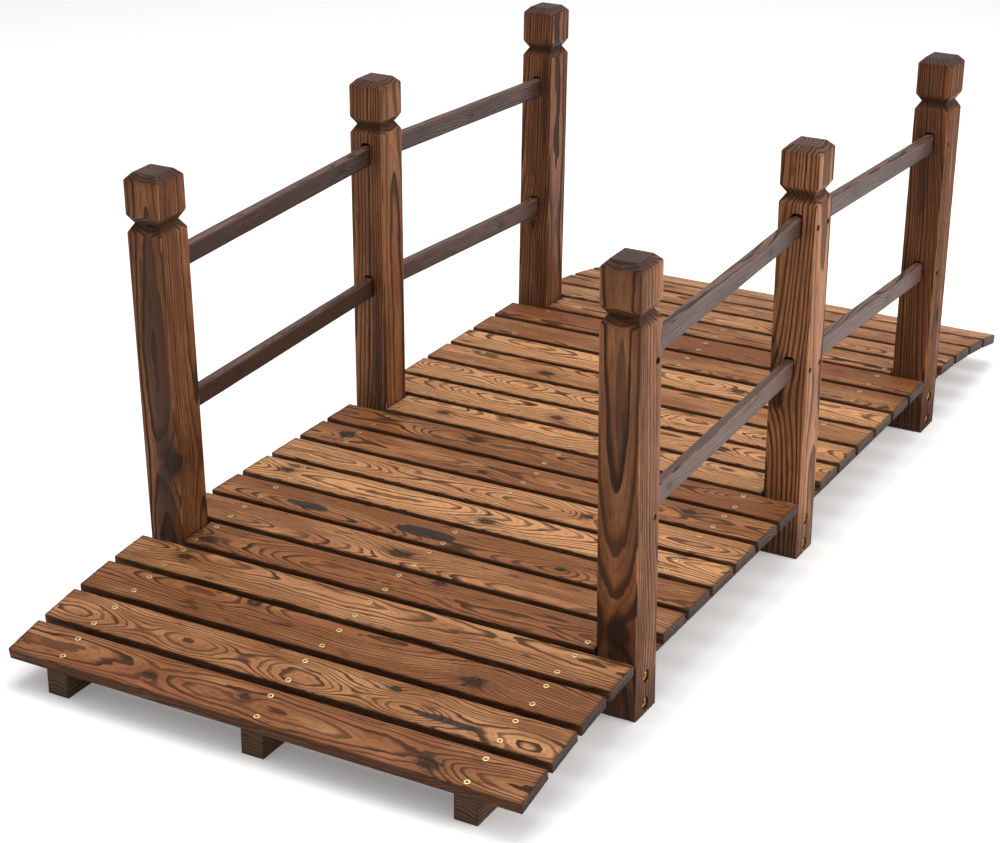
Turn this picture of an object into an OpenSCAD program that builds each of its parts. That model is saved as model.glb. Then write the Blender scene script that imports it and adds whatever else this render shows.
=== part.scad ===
// Wooden footbridge: a low arched deck of planks on three beams, with six posts
// bolted to the outer beams and two rails a side let into the posts.
// +X runs along the walkway, +Y is its left side and +Z is up. The origin is on
// the ground under the middle of the deck. All sizes are in millimetres.

/* [Deck] */
// Length of a full plank, which is the width of the deck
plank_length = 670; // [540:1:900]
// Width of one plank along the walkway
plank_width = 58; // [48:0.5:72]
// Thickness of a plank
plank_thick = 14; // [10:0.5:20]
// Open gap between neighbouring planks
plank_gap = 9.2; // [6:0.1:14]
// Rounding of a plank's upper long edges
plank_round = 2; // [0.5:0.1:4]
// Gap between the end of a short plank and the post beside it
short_plank_gap = 1; // [0.2:0.1:3]
// Length of the level stretch in the middle of the deck
level_length = 808; // [600:1:900]
// Slope of the outermost planks, in degrees
end_slope = 11.45; // [6:0.05:13]

/* [Beams] */
// Width of a beam
beam_width = 29; // [24:0.5:45]
// Height of a beam under the level stretch
beam_height = 70; // [60:0.5:110]
// Distance from a beam's end face to the end of the deck above it
beam_setback = 0.5; // [0:0.1:10]

/* [Posts] */
// Height of a post from the ground to its flat top
post_height = 543; // [500:0.5:700]
// Size of a post along the walkway
post_depth = 52; // [44:0.5:62]
// Size of a post across the walkway
post_width = 50; // [40:0.5:60]
// Distance from the ends of the planks in to a post's outer face
post_inset = 3; // [0:0.5:12]
// Outward lean of the four outer posts, in degrees
post_lean = 1.5; // [0:0.1:3]
// Height of the square knob above the groove, without its sloping top
knob_height = 42.5; // [30:0.5:60]
// Height of the V-groove below the knob
groove_height = 21.5; // [10:0.5:28]
// Depth of the V-groove
groove_depth = 7; // [3:0.5:10]
// Size of the chamfers round a post's top
top_chamfer = 8; // [2:0.5:14]

/* [Rails] */
// Height of a rail's section
rail_height = 27; // [20:0.5:36]
// Thickness of a rail
rail_thick = 12; // [9:0.5:18]
// Rounding of a rail's four long edges
rail_round = 3; // [1:0.1:4]
// Height of the top rails' centre line at the middle posts
top_rail_level = 443; // [360:1:448]
// Height of the lower rails' centre line at the middle posts
low_rail_level = 257.5; // [160:0.5:310]
// How far a rail falls from the middle post to an outer post
rail_fall = 19; // [0:0.5:25]
// Gap between the ends of two rails that meet in a middle post
rail_joint_gap = 8; // [1:0.5:16]

/* [Fits] */
// Seating gap between a plank and the beams
plank_seat = 0.1; // [0.05:0.05:0.3]
// Gap under a rail in its mortise
mortise_seat = 0.3; // [0.1:0.05:0.4]
// Gap above a rail in its mortise
mortise_headroom = 2.5; // [0.5:0.1:4]
// Gap on each side of a rail in its mortise
mortise_side = 1.2; // [0.5:0.1:2]
// Gap past the end of a rail in a closed mortise, and past a bolt in its hole
end_gap = 1; // [0.3:0.1:2]
// Gap round a bolt's shank in a post
bolt_clearance = 0.25; // [0.1:0.05:0.5]
// Gap round a bolt's shank in a beam
bolt_grip = 0.1; // [0.05:0.05:0.2]

/* [Bolts] */
// Height of the lower bolts above the ground
low_bolt_level = 12.5; // [11:0.5:20]
// Height of the upper bolts above the ground
high_bolt_level = 47.5; // [36:0.5:52]
// Diameter of a bolt's shank
bolt_size = 6; // [5:0.5:8]
// Diameter of a bolt's round head
bolt_head = 12.5; // [10:0.5:14]
// Thickness of a bolt's head
bolt_head_thick = 3.5; // [2:0.5:5]
// Width across the corners of the hexagonal socket in a bolt's head
bolt_socket = 5.6; // [4:0.2:7]
// Gap round a bolt's head in its counterbore
head_clearance = 1.5; // [0.5:0.1:2.5]
// Depth of the counterbore
counterbore_depth = 6; // [4:0.5:10]
// Wood left in a beam past the hole for a bolt
bolt_wall = 6; // [3:0.5:12]

/* [Hidden] */
$fn = 48;
CURVE_STEPS = 720; // facets of a full turn of the beams' long curve
CUT = 5; // how far a cutting shape runs past the surface that it cuts
END_PLANKS = 4; // planks outside each pair of outer posts
BAY_PLANKS = 6; // full planks between two pairs of posts
SIDES = ["left", "right"];
STATIONS = [-1, 0, 1]; // places of the posts along the walkway

post_pitch = BAY_PLANKS + 1;
middle_plank = END_PLANKS + BAY_PLANKS + 2;
plank_count = 2 * middle_plank - 1;

plank_pitch = plank_width + plank_gap;
level_half = level_length / 2;
last_station = (middle_plank - 1) * plank_pitch;
deck_level = beam_height + plank_seat + plank_thick;
deck_radius = (last_station - level_half) * 180 / PI / end_slope;
beam_radius = deck_radius - plank_seat - plank_thick;
deck_half = deck_x(last_station) + plank_width / 2 * cos(end_slope);
beam_half = deck_half - plank_thick * sin(end_slope) - beam_setback;

post_outer = plank_length / 2 - post_inset;
post_inner = post_outer - post_width;
post_middle = post_outer - post_width / 2;
post_station = post_pitch * plank_pitch;
post_x = deck_x(post_station);
post_z = deck_z(post_station);
knob_level = post_height - top_chamfer - knob_height;
groove_level = knob_level - groove_height;

rail_slope = atan(rail_fall / post_x);
rail_tenon = (post_depth - rail_joint_gap) / 2;
mortise_width = rail_thick + 2 * mortise_side;
mortise_height = rail_height + mortise_seat + mortise_headroom;
mortise_round = rail_round + 1;

bolt_hole_depth = beam_width - bolt_wall;
bolt_reach = bolt_hole_depth - end_gap;
counterbore_size = bolt_head + 2 * head_clearance;

WOOD_DECK = "#a0663c";
WOOD_POST = "#7a5339";
WOOD_RAIL = "#6f5f58";
WOOD_BEAM = "#553a2a";
YELLOW_ZINC = "#cfa85a";

function plank_name(i) = str("plank_", i < 10 ? "0" : "", i);
function post_name(side, k) = str(side, "_post_", k + 2);
function rail_name(side, level, bay) = str(side, "_", level, "_rail_", bay < 0 ? 1 : 2);

// The deck's top line at a distance s along it from the middle: level in the
// middle stretch and a circular arc towards each end.
function deck_slope(s) =
    abs(s) <= level_half ? 0 : sign(s) * (abs(s) - level_half) / deck_radius * 180 / PI;
function deck_x(s) =
    abs(s) <= level_half ? s : sign(s) * level_half + deck_radius * sin(deck_slope(s));
function deck_z(s) = deck_level - deck_radius * (1 - cos(deck_slope(s)));

function side_sign(side) = side == "left" ? 1 : -1;

// Centre of a post at a height above the ground, for station -1, 0 or 1.
function post_axis_x(k, level) = k * (post_x + (level - post_z) * tan(post_lean));

// Distance along a rail's centre line from the middle post's axis to the inner
// face of the outer post.
function rail_reach(level) =
    (post_x + (level - post_z) * tan(post_lean) - post_depth / 2 / cos(post_lean))
    / (cos(rail_slope) + sin(rail_slope) * tan(post_lean));

// Section of a plank, with its top on the X axis.
module plank_section() {
    edge = plank_width / 2 - plank_round;
    translate([-plank_width / 2, -plank_thick])
        square([plank_width, plank_thick - plank_round]);
    translate([-edge, -plank_thick])
        square([2 * edge, plank_thick]);
    for (x = [-edge, edge])
        translate([x, -plank_round])
            circle(plank_round);
}

module rounded_rectangle(width, height, radius) {
    square([width, height - 2 * radius], center = true);
    square([width - 2 * radius, height], center = true);
    for (x = [-1, 1], y = [-1, 1])
        translate([x * (width / 2 - radius), y * (height / 2 - radius)])
            circle(radius);
}

// Stretches an outline drawn in X and Z along the Y axis, both ways from zero.
module along_y(length) {
    rotate([90, 0, 0])
        linear_extrude(length, center = true)
            children();
}

module plank(i) {
    s = (i - middle_plank) * plank_pitch;
    beside_post = (i - middle_plank) % post_pitch == 0;
    length = beside_post ? 2 * (post_inner - short_plank_gap) : plank_length;
    color(WOOD_DECK)
        translate([deck_x(s), 0, deck_z(s)])
            rotate([0, deck_slope(s), 0])
                along_y(length)
                    plank_section();
}

// Side view of a beam: level in the middle, and a round arc down to each end.
module beam_side() {
    translate([-level_half, 0])
        square([level_length, beam_height]);
    for (end = [-1, 1])
        intersection() {
            translate([end * level_half, beam_height - beam_radius])
                circle(beam_radius, $fn = CURVE_STEPS);
            translate([end > 0 ? level_half : -beam_half, 0])
                square([beam_half - level_half, beam_height]);
        }
}

// A beam with its middle at y. side is 1 or -1 where posts are bolted to that
// face, and 0 where none are.
module beam(y, side) {
    color(WOOD_BEAM)
        difference() {
            translate([0, y, 0])
                along_y(beam_width)
                    beam_side();
            if (side != 0)
                at_bolts(side)
                    bolt_hole(bolt_size / 2 + bolt_grip, bolt_hole_depth);
        }
}

// Outline of one side of a post, with the groove, the knob and the chamfered top.
function post_outline(width) = [
    [width / 2, -CUT],
    [width / 2, groove_level],
    [width / 2 - groove_depth, groove_level + groove_height / 2],
    [width / 2, knob_level],
    [width / 2, post_height - top_chamfer],
    [width / 2 - top_chamfer, post_height],
];
function mirrored(points) = [for (i = [len(points) - 1:-1:0]) [-points[i][0], points[i][1]]];
function post_side(width) = concat(post_outline(width), mirrored(post_outline(width)));

module post_blank() {
    intersection() {
        along_y(post_width)
            polygon(post_side(post_depth));
        rotate([90, 0, 90])
            linear_extrude(post_depth, center = true)
                polygon(post_side(post_width));
    }
}

// Puts children on the centre line of the rail of one bay, with +X along it.
module rail_line(side, level, bay) {
    translate([0, side_sign(side) * post_middle, level])
        rotate([0, 0, bay < 0 ? 180 : 0])
            rotate([0, rail_slope, 0])
                children();
}

// Closed mortise for the end of a rail, cut along the rail's own line.
module closed_mortise(from, to) {
    translate([from, 0, (mortise_headroom - mortise_seat) / 2])
        rotate([90, 0, 90])
            linear_extrude(to - from)
                rounded_rectangle(mortise_width, mortise_height, mortise_round);
}

// Level mortise right through a middle post, where the rails of both bays meet.
// Its floor carries the falling rails at the two faces of the post.
module through_mortise() {
    drop = post_depth / 2 * tan(rail_slope);
    translate([0, 0, (mortise_headroom - mortise_seat - drop) / 2])
        rotate([90, 0, 90])
            linear_extrude(post_depth + 2 * CUT, center = true)
                rounded_rectangle(mortise_width, mortise_height + drop, mortise_round);
}

module post_mortises(side, k) {
    for (level = [top_rail_level, low_rail_level]) {
        reach = rail_reach(level);
        if (k == 0)
            translate([0, side_sign(side) * post_middle, level])
                through_mortise();
        else
            rail_line(side, level, k)
                closed_mortise(reach - CUT, reach + rail_tenon + end_gap);
    }
}

module post(side, k) {
    color(WOOD_POST)
        difference() {
            translate([post_axis_x(k, 0), side_sign(side) * post_middle, 0])
                rotate([0, k * post_lean, 0])
                    post_blank();
            translate([-deck_half, -plank_length, -2 * CUT])
                cube([2 * deck_half, 2 * plank_length, 2 * CUT]);
            post_mortises(side, k);
            at_post_bolts(side_sign(side), k) {
                bolt_hole(bolt_size / 2 + bolt_clearance, CUT);
                counterbore();
            }
        }
}

module rail(side, level, bay) {
    from = rail_joint_gap / 2;
    to = rail_reach(level) + rail_tenon;
    color(WOOD_RAIL)
        rail_line(side, level, bay)
            translate([from, 0, 0])
                rotate([90, 0, 90])
                    linear_extrude(to - from)
                        rounded_rectangle(rail_thick, rail_height, rail_round);
}

// Puts children at each bolt of one post, where its axis meets the joint between
// post and beam, with +Z pointing out of the post.
module at_post_bolts(side, k) {
    for (level = [low_bolt_level, high_bolt_level])
        translate([post_axis_x(k, level), side * post_inner, level])
            rotate([-side * 90, 0, 0])
                children();
}

module at_bolts(side) {
    for (k = STATIONS)
        at_post_bolts(side, k)
            children();
}

// Hole for a bolt, from a depth in the beam to the counterbore in the post.
module bolt_hole(radius, depth) {
    translate([0, 0, -depth])
        cylinder(r = radius, h = depth + post_width);
}

module counterbore() {
    translate([0, 0, post_width - counterbore_depth])
        cylinder(d = counterbore_size, h = counterbore_depth + CUT);
}

module bolt() {
    seat = post_width - counterbore_depth;
    difference() {
        union() {
            translate([0, 0, -bolt_reach])
                cylinder(d = bolt_size, h = seat + bolt_reach + bolt_head_thick / 2);
            translate([0, 0, seat])
                cylinder(d = bolt_head, h = bolt_head_thick);
        }
        translate([0, 0, seat + bolt_head_thick / 2])
            cylinder(d = bolt_socket, h = bolt_head_thick, $fn = 6);
    }
}

module bolts(side) {
    color(YELLOW_ZINC)
        at_bolts(side)
            bolt();
}

for (i = [1:plank_count])
    plank(i);

beam(post_inner - beam_width / 2, 1);  // left_beam
beam(0, 0);  // middle_beam
beam(-post_inner + beam_width / 2, -1);  // right_beam

for (side = SIDES, k = STATIONS)
    post(side, k);

for (side = SIDES, bay = [-1, 1]) {
    rail(side, top_rail_level, bay);
    rail(side, low_rail_level, bay);
}

bolts(1);  // left_bolts
bolts(-1);  // right_bolts
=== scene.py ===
"""Wooden footbridge: the looks of its planks, beams, posts, rails and metal fittings."""

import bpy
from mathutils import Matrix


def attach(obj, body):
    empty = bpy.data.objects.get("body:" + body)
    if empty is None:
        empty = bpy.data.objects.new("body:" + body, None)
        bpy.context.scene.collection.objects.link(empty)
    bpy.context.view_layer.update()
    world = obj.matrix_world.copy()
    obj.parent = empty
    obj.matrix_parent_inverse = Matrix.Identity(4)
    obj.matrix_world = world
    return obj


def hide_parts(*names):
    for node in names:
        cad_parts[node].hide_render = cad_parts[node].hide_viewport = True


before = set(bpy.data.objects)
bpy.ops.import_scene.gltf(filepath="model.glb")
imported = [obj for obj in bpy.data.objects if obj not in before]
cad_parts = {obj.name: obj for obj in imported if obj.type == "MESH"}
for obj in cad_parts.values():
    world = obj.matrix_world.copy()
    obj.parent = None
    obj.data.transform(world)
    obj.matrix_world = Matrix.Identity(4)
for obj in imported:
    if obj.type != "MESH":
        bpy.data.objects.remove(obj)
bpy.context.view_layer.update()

import math

import bmesh
import bpy
import numpy as np
from bpy.props import FloatProperty, FloatVectorProperty, IntProperty, PointerProperty
from mathutils import Matrix, Vector

bl_info = {
    "name": "Wooden Footbridge",
    "version": (1, 0, 0),
    "blender": (4, 5, 0),
    "location": "View3D > Sidebar > Footbridge",
    "description": "Builds a charred and brushed fir footbridge round its fixed frame",
    "category": "Object",
}

MM = 0.001
PLANK_STEP, BEAM_STEP, POST_STEP, RAIL_STEP = 4.5 * MM, 12 * MM, 6.5 * MM, 7 * MM  # mesh
BOLT_CLEARANCE, BOLT_GRIP = 0.25 * MM, 0.1 * MM  # gaps round a bolt in a post and a beam
HOLE_STOP, BOLT_STOP = 6 * MM, 7 * MM  # wood left past a beam's bolt hole and past its bolt
X, Y, Z = np.eye(3)
BODY = "root"


# ---- settings


def paint(red, green, blue):
    """A colour given as it shows on a screen, from 0 to 255, in linear values."""
    shown = np.array((red, green, blue)) / 255
    linear = np.where(shown <= 0.04045, shown / 12.92, ((shown + 0.055) / 1.055) ** 2.4)
    return tuple(float(v) for v in linear)


def length(name, description, millimetres):
    return FloatProperty(name=name, description=description, default=millimetres * MM,
                         min=0.0, unit="LENGTH", subtype="DISTANCE")


def colour(name, description, *shown):
    return FloatVectorProperty(name=name, description=description, default=paint(*shown),
                               min=0.0, max=1.0, size=3, subtype="COLOR")


class FOOTBRIDGE_PG_sizes(bpy.types.PropertyGroup):
    plank_round: length("Plank rounding", "Rounding of a plank's upper long edges", 2.0)
    plank_ease: length("Plank end easing", "Rounding of a plank's end edges", 1.2)
    plank_uneven: length("Plank unevenness", "How far the planks' long edges wander", 0.45)
    deck_ring: length("Deck ring width", "Mean width of a growth ring in the planks", 2.9)
    post_ring: length("Post ring width", "Mean width of a growth ring in the posts", 4.4)
    post_relief: length("Post relief", "Depth of the brushed grooves in the posts", 1.1)
    knob_height: length("Knob height", "Height of the knob without its sloping top", 42.5)
    groove_height: length("Groove height", "Height of the V-groove below the knob", 21.5)
    groove_depth: length("Groove depth", "Depth of the V-groove", 7.0)
    top_chamfer: length("Top chamfer", "Size of the chamfers round a post's top", 8.0)
    rail_round: length("Rail rounding", "Rounding of a rail's long edges", 3.0)
    mortise_seat: length("Mortise seat", "Gap under a rail in its mortise", 0.3)
    mortise_headroom: length("Mortise headroom", "Gap above a rail in its mortise", 2.5)
    mortise_side: length("Mortise side gap", "Gap on each side of a rail", 1.2)
    low_bolt_level: length("Lower bolts", "Height of the lower bolts", 12.5)
    high_bolt_level: length("Upper bolts", "Height of the upper bolts", 47.5)
    bolt_size: length("Bolt shank", "Diameter of a bolt's shank", 6.0)
    bolt_head: length("Bolt head", "Diameter of a bolt's head", 12.5)
    bolt_head_thick: length("Bolt head thickness", "Thickness of a bolt's head", 3.5)
    bolt_socket: length("Bolt socket", "Width across the corners of the socket", 5.6)
    counterbore: length("Counterbore", "Diameter of the counterbore", 15.5)
    counterbore_depth: length("Counterbore depth", "Depth of the counterbore", 6.0)
    screw_head: length("Deck screw head", "Diameter of a deck screw's head", 7.4)
    screw_spread: length("Deck screw spread", "Distance from a plank's middle to a screw", 17.5)
    rail_screw_head: length("Rail screw head", "Diameter of a rail screw's head", 5.6)
    rail_screw_hole: length("Rail screw hole", "Diameter of the hole a rail screw sits in", 8.0)
    rail_screw_depth: length("Rail screw depth", "Depth of the hole a rail screw sits in", 5.0)
    rail_screw_set: length("Rail screw offset", "Distance from a post's axis to a rail screw", 16.0)
    seed: IntProperty(name="Seed", description="Number that picks the trees", default=7, min=0)


class FOOTBRIDGE_PG_colours(bpy.types.PropertyGroup):
    deck_light: colour("Deck, light wood", "Early wood of the brighter planks", 208, 150, 102)
    deck_deep: colour("Deck, deep wood", "Early wood of the darker planks", 144, 89, 53)
    deck_late: colour("Deck, ring lines", "Late wood of the planks", 50, 28, 15)
    post_light: colour("Post, light wood", "Early wood of the brighter posts", 166, 108, 68)
    post_deep: colour("Post, deep wood", "Early wood of the darker posts", 112, 67, 39)
    post_late: colour("Post, ring lines", "Late wood of the posts", 38, 22, 13)
    rail_light: colour("Rail, light wood", "Early wood of the brighter rails", 110, 83, 72)
    rail_deep: colour("Rail, deep wood", "Early wood of the darker rails", 70, 48, 37)
    rail_late: colour("Rail, ring lines", "Late wood of the rails", 34, 23, 20)
    beam_light: colour("Beam, light wood", "Early wood of the brighter beams", 100, 68, 45)
    beam_deep: colour("Beam, deep wood", "Early wood of the darker beams", 68, 48, 34)
    beam_late: colour("Beam, ring lines", "Late wood of the beams", 32, 23, 18)
    char: colour("Char", "Burnt knots, patches and end grain", 38, 36, 38)
    zinc: colour("Yellow zinc", "Plating of the bolts", 214, 170, 86)
    brass: colour("Screw heads", "Plating of the screws", 216, 190, 132)
    floor: colour("Floor", "Pale studio floor", 246, 246, 246)


def sizes():
    return bpy.context.scene.footbridge_sizes


def colours():
    return bpy.context.scene.footbridge_colours


# ---- shader graph


def maths(operation, reflected=False):
    """A method that adds a Math node; a reflected one puts its own value last."""
    def added(value, *others):
        terms = (*others, value) if reflected else (value, *others)
        return value.graph.node("ShaderNodeMath", {"operation": operation}, dict(enumerate(terms)))
    return added


class Value:
    """A number in a shader graph; Python's operators on it add Math nodes."""

    def __init__(self, graph, socket):
        self.graph = graph
        self.socket = socket

    __add__ = __radd__ = maths("ADD")
    __mul__ = __rmul__ = maths("MULTIPLY")
    __sub__ = maths("SUBTRACT")
    __rsub__ = maths("SUBTRACT", reflected=True)
    floor = maths("FLOOR")
    fraction = maths("FRACT")
    sine = maths("SINE")
    most = maths("MAXIMUM")

    def rise(self, start, end, low=0.0, high=1.0):
        """Smooth step from low at start to high at end."""
        inputs = {"Value": self, "From Min": start, "From Max": end, "To Min": low, "To Max": high}
        return self.graph.node("ShaderNodeMapRange", {"interpolation_type": "SMOOTHSTEP"}, inputs)


class Finish:
    """A material and the nodes in it."""

    def __init__(self, name):
        self.material = bpy.data.materials.new(name)
        self.material.use_nodes = True
        self.tree = self.material.node_tree
        self.shader = self.tree.nodes["Principled BSDF"]

    def node(self, kind, settings=None, inputs=None, output=0):
        made = self.tree.nodes.new(kind)
        for key, setting in (settings or {}).items():
            setattr(made, key, setting)
        for key, given in (inputs or {}).items():
            self.feed(made.inputs[key], given)
        return Value(self, made.outputs[output])

    def feed(self, socket, given):
        if isinstance(given, Value):
            self.tree.links.new(given.socket, socket)
        elif socket.type == "RGBA" and len(given) == 3:
            socket.default_value = (*given, 1.0)
        else:
            socket.default_value = given

    def attribute(self, name, output="Fac"):
        return self.node("ShaderNodeAttribute", {"attribute_name": name}, output=output)

    def noise(self, vector, scale, detail=2.0, roughness=0.5):
        inputs = {"Vector": vector, "Scale": scale, "Detail": detail, "Roughness": roughness}
        return self.node("ShaderNodeTexNoise", None, inputs)

    def grain(self, place, along, across, detail=3.0, roughness=0.5):
        """Noise drawn out along the grain: so many waves a metre along and across it."""
        stretched = self.node("ShaderNodeVectorMath", {"operation": "MULTIPLY"},
                              {0: place, 1: (along, across, across)})
        return self.noise(stretched, 1.0, detail, roughness)

    def mix(self, factor, below, above, blend="MIX"):
        settings = {"data_type": "RGBA", "blend_type": blend}
        return self.node("ShaderNodeMix", settings, {0: factor, 6: below, 7: above}, output=2)

    def bump(self, height, distance, strength=1.0):
        inputs = {"Height": height, "Distance": distance, "Strength": strength}
        return self.node("ShaderNodeBump", None, inputs)

    def wear(self, **given):
        """Sets the shader's sockets; an underscore stands for a space."""
        for key, value in given.items():
            self.feed(self.shader.inputs[key.replace("_", " ")], value)


# ---- wood


DECK_BAND = (0.46, 0.80, 0.95)  # where late wood starts, is full and stops in a ring
POST_BAND = (0.34, 0.64, 0.93)
RING_TURN = 2.4  # radians between the strengths of neighbouring rings
RING_BASE, RING_SWING = 0.85, 0.15


def smooth(value, start, end):
    t = np.clip((value - start) / (end - start), 0, 1)
    return t * t * (3 - 2 * t)


def late_wood(rings, band):
    """How dark and hard the wood is, 0 to 1, for a place counted in rings."""
    start, full, stop = band
    part = rings % 1
    line = smooth(part, start, full) * (1 - smooth(part, stop, 1))
    return line * (RING_BASE + RING_SWING * np.sin(np.floor(rings) * RING_TURN))


def late_wood_nodes(rings, band):
    start, full, stop = band
    part = rings.fraction()
    line = part.rise(start, full) * (1 - part.rise(stop, 1.0))
    return line * ((rings.floor() * RING_TURN).sine() * RING_SWING + RING_BASE)


class Ripple:
    """Smooth unevenness: a sum of sine waves about as long as the given lengths."""

    def __init__(self, rng, lengths, waves=9):
        self.pull = rng.normal(size=(waves, 3)) / (np.array(lengths) * MM)
        self.start = rng.uniform(0, 2 * math.pi, waves)

    def __call__(self, places):
        waves = np.sin(places @ self.pull.T * 4 + self.start)
        return waves.sum(axis=1) / math.sqrt(len(self.start))

    def share(self, places, most=1.0):
        """The same, mostly between 0 and 1 and cut off below 0 and above most."""
        return np.clip(self(places) * 0.5 + 0.5, 0, most)


RING_WAVE = (0.8 * MM, 5)  # how far ring widths swing, and over how many rings
DRIFT = (0.85, 0.24)  # shares of long and short waves in the rings' drift
KNOT_REACH = (4.0, 2.2)  # how far a knot bends the rings along and across, in its radii
KNOT_LONG = 1.6  # length of a knot beside its width
CHAR_EDGE = (0.75, 1.1)  # where a charred patch starts and stops to fade, in its half sizes


class Timber:
    """The tree that one piece was sawn from. Places in it run along the grain first,
    then across the piece, then through it, all from the piece's middle."""

    def __init__(self, seed, ring, pith, taper, wander=5.0, tone=None, waviness=1.0):
        self.rng = np.random.default_rng(seed)
        self.ring = ring
        self.pith = pith
        self.taper = taper
        self.wander = wander * MM
        self.sway = [Ripple(self.rng, (280, 1e6, 1e6), 4) for _ in range(2)]
        self.wave = Ripple(self.rng, (110, 30, 30))
        self.quiver = Ripple(self.rng, (30, 9, 9))
        self.breath = self.rng.uniform(0, 2 * math.pi)
        self.offset = self.rng.uniform(-9, 9, 3)
        self.tone = self.rng.uniform(0, 1) if tone is None else tone
        self.waviness = waviness
        self.knots = []
        self.patches = []

    def knot(self, along, across, size, swirl, facing=(0.0, 1.0)):
        """A branch that leaves the tree at a place along, heading out along facing."""
        self.knots.append((along, across, size, swirl, facing))

    def patch(self, along, across, long, wide, through=0.0, depth=1e6):
        self.patches.append((along, across, long, wide, through, depth))

    def heart(self, places):
        along = places[:, 0]
        across = self.pith[0] + self.taper[0] * along + self.wander * self.sway[0](places) / 2
        through = self.pith[1] + self.taper[1] * along + self.wander * self.sway[1](places)
        return across, through

    def from_knot(self, places, knot):
        along, across, _, _, facing = knot
        side = (places[:, 1] - across) * facing[1] - places[:, 2] * facing[0]
        return places[:, 0] - along, side

    def rings(self, places):
        across, through = self.heart(places)
        reach = np.hypot(places[:, 1] - across, places[:, 2] - through)
        swing, span = RING_WAVE
        uneven = swing * np.sin(reach / (span * self.ring) * 2 * math.pi + self.breath)
        drift = DRIFT[0] * self.wave(places) + DRIFT[1] * self.quiver(places)
        drift = drift * self.waviness * MM
        count = (reach + uneven + drift) / self.ring
        for knot in self.knots:
            run, side = self.from_knot(places, knot)
            size, swirl = knot[2:4]
            long, wide = size * KNOT_REACH[0], size * KNOT_REACH[1]
            away = np.sqrt((run / long) ** 2 + (side / wide) ** 2 + 0.02)
            count = count + swirl * np.exp(-away)
        return count

    def knot_distance(self, places):
        """Distance to the nearest knot, in its radii."""
        nearest = np.full(len(places), 4.0)
        for knot in self.knots:
            run, side = self.from_knot(places, knot)
            size = knot[2]
            ragged = 1 + 0.12 * self.quiver(places)
            nearest = np.minimum(nearest, np.hypot(run / (size * KNOT_LONG), side / size) * ragged)
        return nearest

    def burnt(self, places):
        char = np.zeros(len(places))
        for along, across, long, wide, through, depth in self.patches:
            away = np.hypot((places[:, 0] - along) / long, (places[:, 1] - across) / wide)
            away = np.hypot(away, (places[:, 2] - through) / depth)
            away = away + self.waviness * (0.16 * self.wave(places) + 0.10 * self.quiver(places))
            char = np.maximum(char, 1 - smooth(away, *CHAR_EDGE))
        return char


def wood_finish(wood, relief, scorch=None, band=DECK_BAND, ring_jitter=0.10, burn=0.97,
                streaks=0.24, smears=0.8, sheen=0.11, gloss=0.46):
    """Charred and brushed fir. It reads what the timber's own code wrote on the mesh."""
    soot = colours().char
    light, deep, late = (getattr(colours(), f"{wood}_{part}") for part in ("light", "deep", "late"))
    finish = Finish(wood + "_wood")
    place = finish.attribute("place", "Vector")
    tone, shade_and_stain, end, char, knot = (
        finish.attribute(name) for name in ("tone", "shade_and_stain", "end_grain", "char", "knot"))
    jitter = finish.grain(place, 55, 420)
    fibre = finish.grain(place, 34, 1500, roughness=0.6)
    cloud = finish.grain(place, 9, 42)
    fleck = finish.grain(place, 120, 900, detail=1)
    rings = finish.attribute("rings") + (jitter - 0.5) * ring_jitter * 2
    line = late_wood_nodes(rings, band)
    hair = (rings * 2.0 + 0.35).fraction().rise(0.62, 0.92) * fibre.rise(0.42, 0.60)
    ragged = knot + (jitter - 0.5) * 0.9
    core = 1 - ragged.rise(0.6, 1.1)
    halo = 1 - ragged.rise(0.8, 2.6)
    burnt = (char + (jitter - 0.5) * 0.7).rise(0.35, 0.75)

    early = finish.mix((tone + (cloud - 0.5) * 1.5).rise(0.0, 1.0), deep, light)
    early = finish.mix(fibre.rise(0.36, 0.68) * streaks, early,
                       finish.mix(0.60, early, late))
    dark = (line * (cloud.rise(0.25, 0.7) * 0.2 + 0.8)).most(fleck.rise(0.66, 0.8) * 0.4)
    shade = finish.mix(dark.most(hair * 0.5) * 0.98, early, late)
    shade = finish.mix(halo * (line * 0.5 + 0.35), shade, finish.mix(0.25, late, deep))
    burr = finish.grain(place, 300, 300, detail=2)
    circles = ((knot + (burr - 0.5) * 0.4) * 5.0).fraction().rise(0.25, 0.9)
    shade = finish.mix(core * (circles * 0.35 + 0.65), shade, finish.mix(0.2, late, soot))
    shade = finish.mix(core * burr.rise(0.52, 0.66) * 0.9, shade, (0.006, 0.005, 0.005))
    shade = finish.mix(burnt * fibre.rise(0.2, 0.9, burn, burn * 0.8), shade, scorch or soot)
    smear = finish.grain(place, 20, 105, detail=4, roughness=0.62)
    shade = finish.mix(smear.rise(0.58, 0.70) * fibre.rise(0.3, 0.6, 0.6, 1.0) * smears, shade,
                       finish.mix(0.15, late, soot))
    # Painted shade, with some real discolouring: the colour darkens toward the late wood in
    # recesses, under and between parts and on lower sides.
    shade = finish.mix(shade_and_stain * jitter.rise(0.2, 0.7, 0.7, 1.0), shade,
                       finish.mix(0.07, late, deep))
    shade = finish.mix(end * (line * 0.15 + 0.80) * fleck.rise(0.2, 0.9, 1.0, 0.85),
                       shade, soot)
    rough = (line * 0.16 + fibre * 0.2 + gloss - 0.1).most(burnt * 0.5)
    height = (1 - line) * 0.8 + fibre * 0.22 - core * 0.25 + jitter * 0.1
    finish.wear(Base_Color=shade, Roughness=rough, Specular_IOR_Level=sheen,
                Normal=finish.bump(height, relief))
    return finish.material


# ---- mesh code


def nodes_with(part):
    """Names of the CAD nodes that have a part in their name, in order."""
    return sorted(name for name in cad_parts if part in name)


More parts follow.
